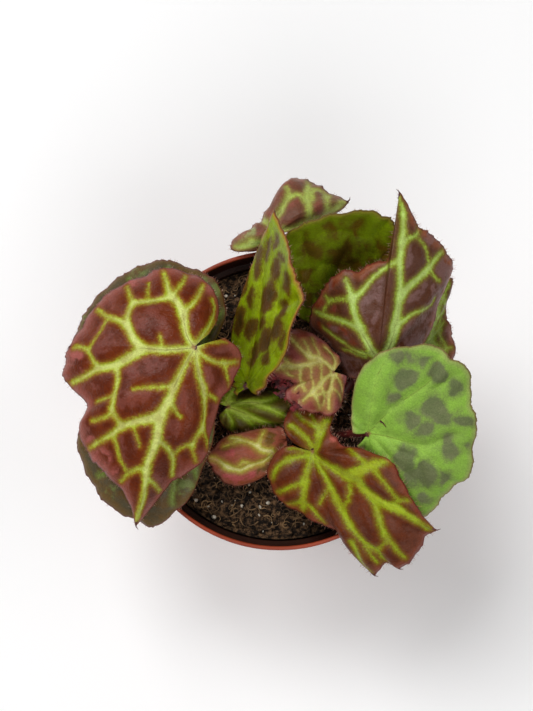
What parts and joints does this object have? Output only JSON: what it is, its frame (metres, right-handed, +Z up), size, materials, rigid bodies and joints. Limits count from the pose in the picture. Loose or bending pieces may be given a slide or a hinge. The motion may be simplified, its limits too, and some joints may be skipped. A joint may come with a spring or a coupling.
{
  "type": "potted begonia",
  "caption": "Rhizomatous begonia with patterned, waved leaves on red petioles, planted in soil in a round tapered nursery pot that stands on its flat base.",
  "frame": {"origin": "centre of the pot's flat base, on the surface that the pot stands on", "axes": "+Z up along the pot's axis; -Y towards the plant's front; +X to the right seen from the front"},
  "size_m": [0.1602, 0.1578, 0.1479],
  "materials": {
    "pot_plastic": "satin terracotta-coloured plastic, dark inside",
    "potting_soil": "crumbly dark peat with pale fibres and white specks",
    "rhizome_skin": "dull dark red bark",
    "leaf_front_left_skin": "satin red-brown cells, yellow-green veins",
    "leaf_left_under_skin": "satin dark olive, green veins",
    "leaf_upright_skin": "satin bright yellow-green with brown cells",
    "leaf_back_skin": "satin purple-brown with green ends",
    "leaf_back_inner_skin": "dark olive with soft dark blotches",
    "leaf_back_right_skin": "satin purple-brown cells, green veins",
    "leaf_right_under_skin": "satin purple-brown cells, green veins",
    "leaf_right_skin": "matte light green with soft grey-green blotches",
    "leaf_centre_skin": "satin rose-brown cells, cream-green veins, a dried torn edge",
    "leaf_left_inner_skin": "satin dark green with brown cells",
    "leaf_front_small_skin": "satin rose-brown cells, green veins",
    "leaf_front_right_skin": "satin red-brown cells, green veins"
  },
  "bodies": {
    "root": {"pot": "pot_plastic", "soil": "potting_soil", "rhizome": "rhizome_skin", "leaf_front_left": "leaf_front_left_skin", "leaf_left_under": "leaf_left_under_skin", "leaf_upright": "leaf_upright_skin", "leaf_back": "leaf_back_skin", "leaf_back_inner": "leaf_back_inner_skin", "leaf_back_right": "leaf_back_right_skin", "leaf_right_under": "leaf_right_under_skin", "leaf_right": "leaf_right_skin", "leaf_centre": "leaf_centre_skin", "leaf_left_inner": "leaf_left_inner_skin", "leaf_front_small": "leaf_front_small_skin", "leaf_front_right": "leaf_front_right_skin"}
  },
  "joints": []
}
